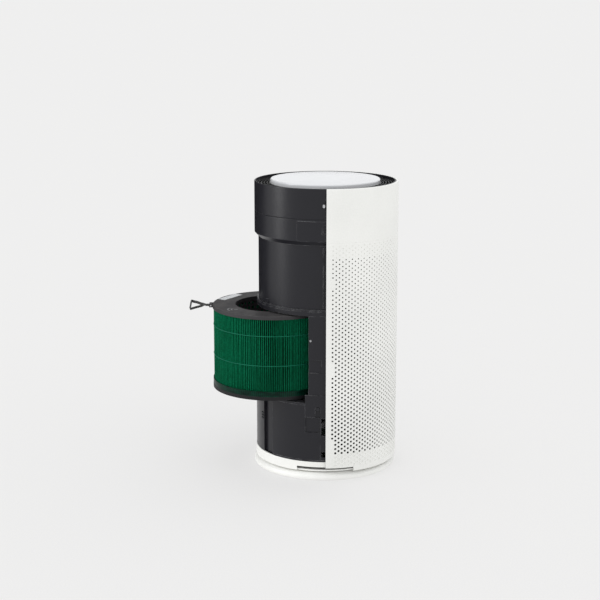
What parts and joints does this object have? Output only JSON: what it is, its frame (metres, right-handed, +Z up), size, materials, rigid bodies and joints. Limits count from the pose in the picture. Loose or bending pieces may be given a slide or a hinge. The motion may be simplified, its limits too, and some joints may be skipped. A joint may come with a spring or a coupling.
{
  "type": "air purifier",
  "caption": "Cylindrical air purifier with its rear cover off and its green drum filter drawn half out on a pull strap; perforated front half cover, top outlet grille and fan inside.",
  "frame": {"origin": "centre of the round base, on the floor", "axes": "+Z up along the casing's axis; -Y is the front, which the perforated cover closes; +Y is the open rear, where the filter comes out"},
  "size_m": [0.286, 0.4116, 0.57],
  "materials": {
    "white_casing": "fine matt moulded, off-white",
    "charcoal_casing": "satin moulded, charcoal",
    "grille_plastic": "fine matt moulded, near black",
    "foot_rubber": "matt rubber",
    "seal_foam": "closed-cell foam",
    "screw_steel": "zinc plated",
    "motor_metal": "cast and turned",
    "copper_wire": "lacquered copper windings",
    "circuit_board": "green solder mask",
    "socket_black": "glass-filled, black",
    "contact_brass": "plated contacts",
    "impeller_plastic": "light grey moulded",
    "pale_trim": "smooth white acetal",
    "filter_pleats": "pleated green fibre sheet",
    "filter_caps": "soft charcoal moulding",
    "filter_glue": "dark green potting",
    "label_film": "blank white film",
    "strap_fabric": "woven charcoal tape"
  },
  "bodies": {
    "housing": {"base_disc": "white_casing", "foot_ring": "foot_rubber", "base_screws": "screw_steel", "bottom_plate": "white_casing", "bottom_ring": "white_casing", "lower_housing": "charcoal_casing", "rear_panel": "charcoal_casing", "filter_deck": "charcoal_casing", "deck_pad": "seal_foam", "power_board": "circuit_board", "power_socket": "socket_black", "socket_pins": "contact_brass", "dust_sensor": "socket_black", "left_column": "charcoal_casing", "right_column": "charcoal_casing", "column_studs": "pale_trim", "column_screws": "screw_steel", "intake_cage": "grille_plastic", "inlet_flange": "charcoal_casing", "inlet_guard": "grille_plastic", "inlet_seal": "seal_foam", "fan_housing": "charcoal_casing", "motor_windings": "copper_wire", "motor_can": "motor_metal", "motor_bearings": "screw_steel", "motor_screws": "screw_steel", "motor_mount": "grille_plastic", "stator_vanes": "grille_plastic", "shroud_band": "charcoal_casing", "cover_latches": "charcoal_casing", "upper_ring": "charcoal_casing", "outlet_grille": "grille_plastic", "hub_fairing": "charcoal_casing", "control_board": "circuit_board", "top_disc": "white_casing", "switch_body": "socket_black"},
    "fan": {"impeller": "impeller_plastic", "impeller_nut": "screw_steel", "motor_shaft": "screw_steel", "motor_rotor": "motor_metal"},
    "front_cover": {"front_cover": "white_casing"},
    "filter": {"filter_media": "filter_pleats", "filter_core": "filter_caps", "filter_top_cap": "filter_caps", "filter_bottom_cap": "filter_caps", "filter_skirt": "filter_glue", "filter_label": "label_film", "strap_pin": "screw_steel"},
    "pull_strap": {"pull_strap": "strap_fabric"},
    "cover_switch": {"switch_button": "pale_trim"}
  },
  "joints": [
    {"name": "fan_spin", "type": "hinge", "parent": "housing", "child": "fan", "pos_m": [0, 0, 0.42], "axis": [0, 0, 1], "continuous": true},
    {"name": "filter_slide", "type": "slide", "parent": "housing", "child": "filter", "axis": [0, 1, 0], "range_m": [-0.101, 0.15]},
    {"name": "strap_fold", "type": "hinge", "parent": "filter", "child": "pull_strap", "pos_m": [0, 0.2256, 0.3175], "axis": [1, 0, 0], "range_deg": [-88, 20]},
    {"name": "cover_off", "type": "slide", "parent": "housing", "child": "front_cover", "axis": [0, -1, 0], "range_m": [0, 0.16]},
    {"name": "switch_press", "type": "slide", "parent": "housing", "child": "cover_switch", "axis": [0.9994, -0.0349, 0], "range_m": [0, 0.0024], "stiffness_N_per_m": 400}
  ]
}
